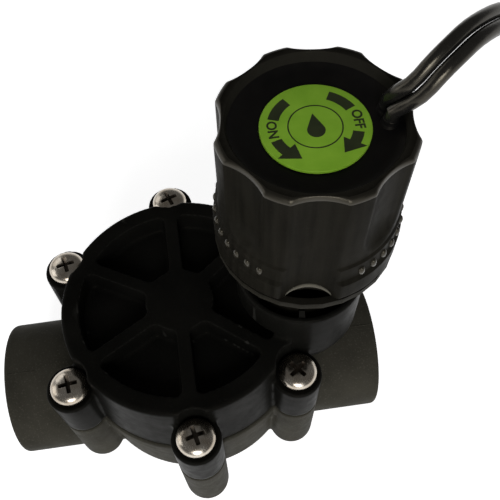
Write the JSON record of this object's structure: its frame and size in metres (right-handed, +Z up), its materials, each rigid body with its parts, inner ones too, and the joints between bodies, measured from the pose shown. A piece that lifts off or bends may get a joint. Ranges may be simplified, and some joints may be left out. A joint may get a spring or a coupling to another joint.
{
  "type": "solenoid valve",
  "caption": "In-line plastic diaphragm valve with female ports, a ribbed screwed bonnet and a fluted twist-to-bleed solenoid with two loose leads.",
  "frame": {"origin": "middle of the valve's footprint, under the bonnet's axis, on the surface it stands on", "axes": "+X along the pipe from inlet to outlet, the solenoid's side; +Z up along the bonnet's and the solenoid's axes; +Y to the back"},
  "size_m": [0.2266, 0.0973, 0.1422],
  "materials": {
    "body_nylon": "fine grained matt black-grey",
    "bonnet_nylon": "satin black",
    "solenoid_nylon": "satin black-brown",
    "potting_resin": "smooth black",
    "stainless_steel": "polished",
    "plated_steel": "satin",
    "copper_wire": "enamelled winding",
    "brass": "turned",
    "rubber": "matt",
    "label_green": "printed film",
    "pvc_black": "glossy",
    "bobbin_nylon": "natural"
  },
  "bodies": {
    "valve": {"valve_body": "body_nylon", "inlet_port": "body_nylon", "outlet_port": "body_nylon", "bonnet": "bonnet_nylon", "cover_screw_1": "stainless_steel", "cover_screw_2": "stainless_steel", "cover_screw_3": "stainless_steel", "cover_screw_4": "stainless_steel", "cover_screw_5": "stainless_steel", "cover_screw_6": "stainless_steel", "diaphragm": "rubber", "diaphragm_spring": "stainless_steel", "pilot_seat": "brass", "lead_wire_a": "pvc_black", "lead_wire_b": "pvc_black", "lead_coil": "pvc_black"},
    "diaphragm_stack": {"diaphragm_disc": "bobbin_nylon", "seat_washer": "rubber", "washer_retainer": "bobbin_nylon", "retainer_screw": "stainless_steel"},
    "solenoid": {"solenoid_shell": "solenoid_nylon", "solenoid_cap": "potting_resin", "dial_label": "label_green", "lead_bush_a": "potting_resin", "lead_bush_b": "potting_resin", "magnet_yoke": "plated_steel", "coil_bobbin": "bobbin_nylon", "coil_winding": "copper_wire", "core_tube": "stainless_steel", "fixed_core": "plated_steel", "solenoid_base": "solenoid_nylon", "stem_o_ring": "rubber", "plunger_spring": "stainless_steel"},
    "plunger_assembly": {"plunger": "plated_steel", "plunger_seal": "rubber"}
  },
  "joints": [
    {"name": "solenoid_turn", "type": "hinge", "parent": "valve", "child": "solenoid", "pos_m": [0.0315, 0, 0.09], "axis": [0, 0, 1], "range_deg": [0, 90]},
    {"name": "plunger_lift", "type": "slide", "parent": "solenoid", "child": "plunger_assembly", "axis": [0, 0, 1], "range_m": [0, 0.0018], "stiffness_N_per_m": 80, "springref_m": -0.005, "deforming": ["plunger_spring"]},
    {"name": "diaphragm_lift", "type": "slide", "parent": "valve", "child": "diaphragm_stack", "axis": [0, 0, 1], "range_m": [0, 0.006], "stiffness_N_per_m": 250, "springref_m": -0.006, "deforming": ["diaphragm", "diaphragm_spring"]}
  ]
}
